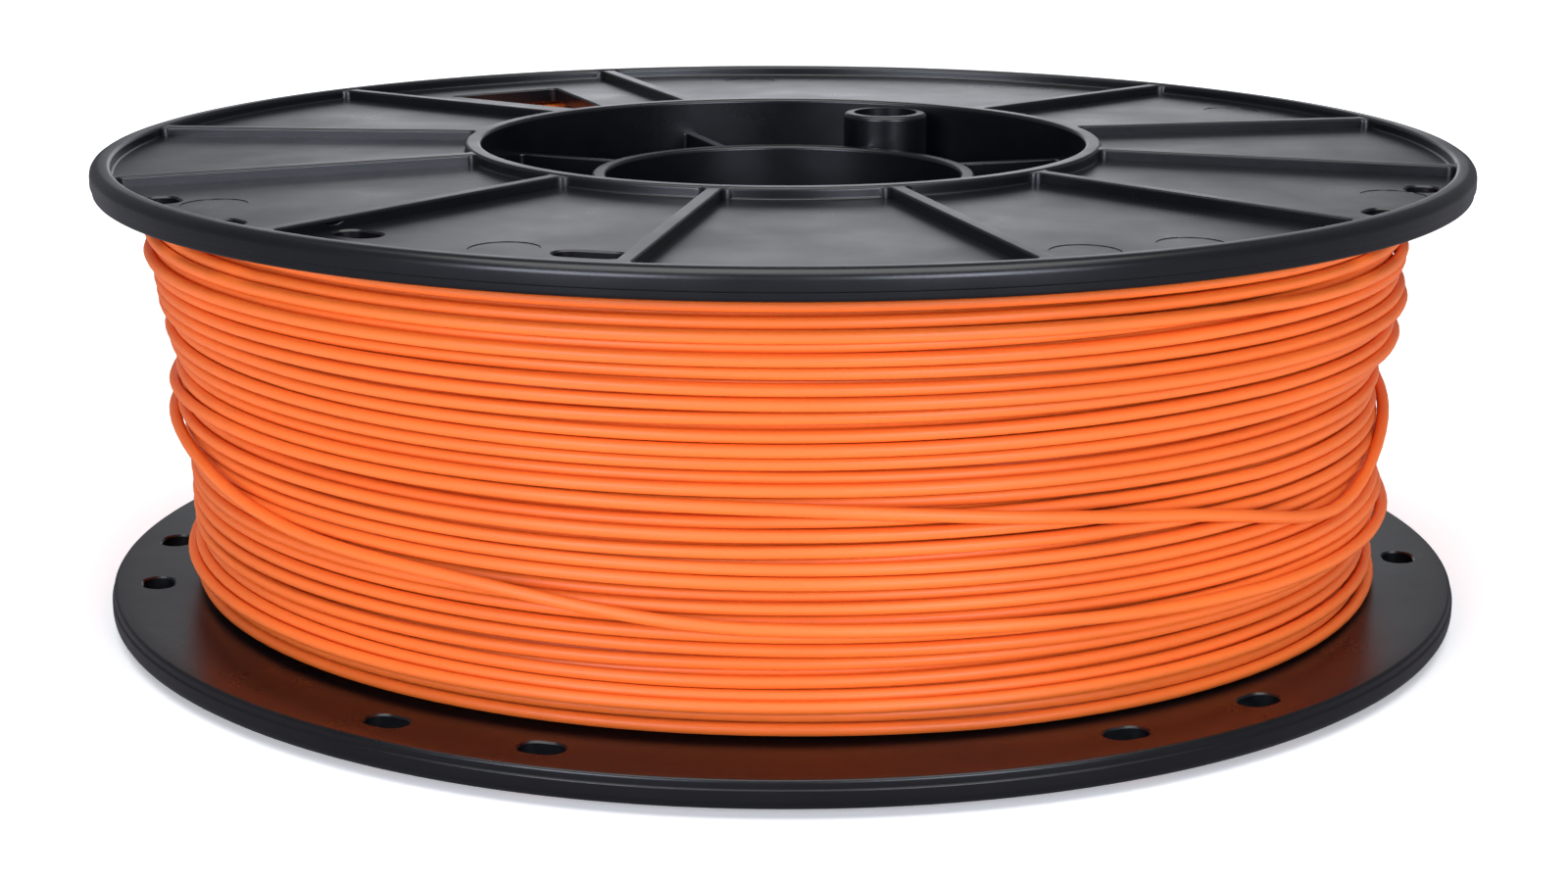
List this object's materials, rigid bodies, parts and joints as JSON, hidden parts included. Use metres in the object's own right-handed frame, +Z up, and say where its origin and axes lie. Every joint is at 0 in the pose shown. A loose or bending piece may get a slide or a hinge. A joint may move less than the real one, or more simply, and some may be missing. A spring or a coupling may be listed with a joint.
{
  "type": "filament spool",
  "caption": "Snap-together moulded spool wound full of printing filament, with ribbed flanges, a hub ring, a bore tube and an off-centre drive boss.",
  "frame": {"origin": "centre of the base, where the bore axis meets the plane of the lower hub ring's face", "axes": "+Z up along the bore axis, from the lower half to the upper half; +X to the right and -Y to the front as the spool is usually viewed"},
  "size_m": [0.2, 0.2, 0.068],
  "materials": {
    "spool_plastic": "satin moulded black polystyrene",
    "filament_plastic": "satin extruded orange filament"
  },
  "bodies": {
    "root": {"spool_half_lower": "spool_plastic", "spool_half_upper": "spool_plastic", "filament_winding": "filament_plastic"}
  },
  "joints": []
}
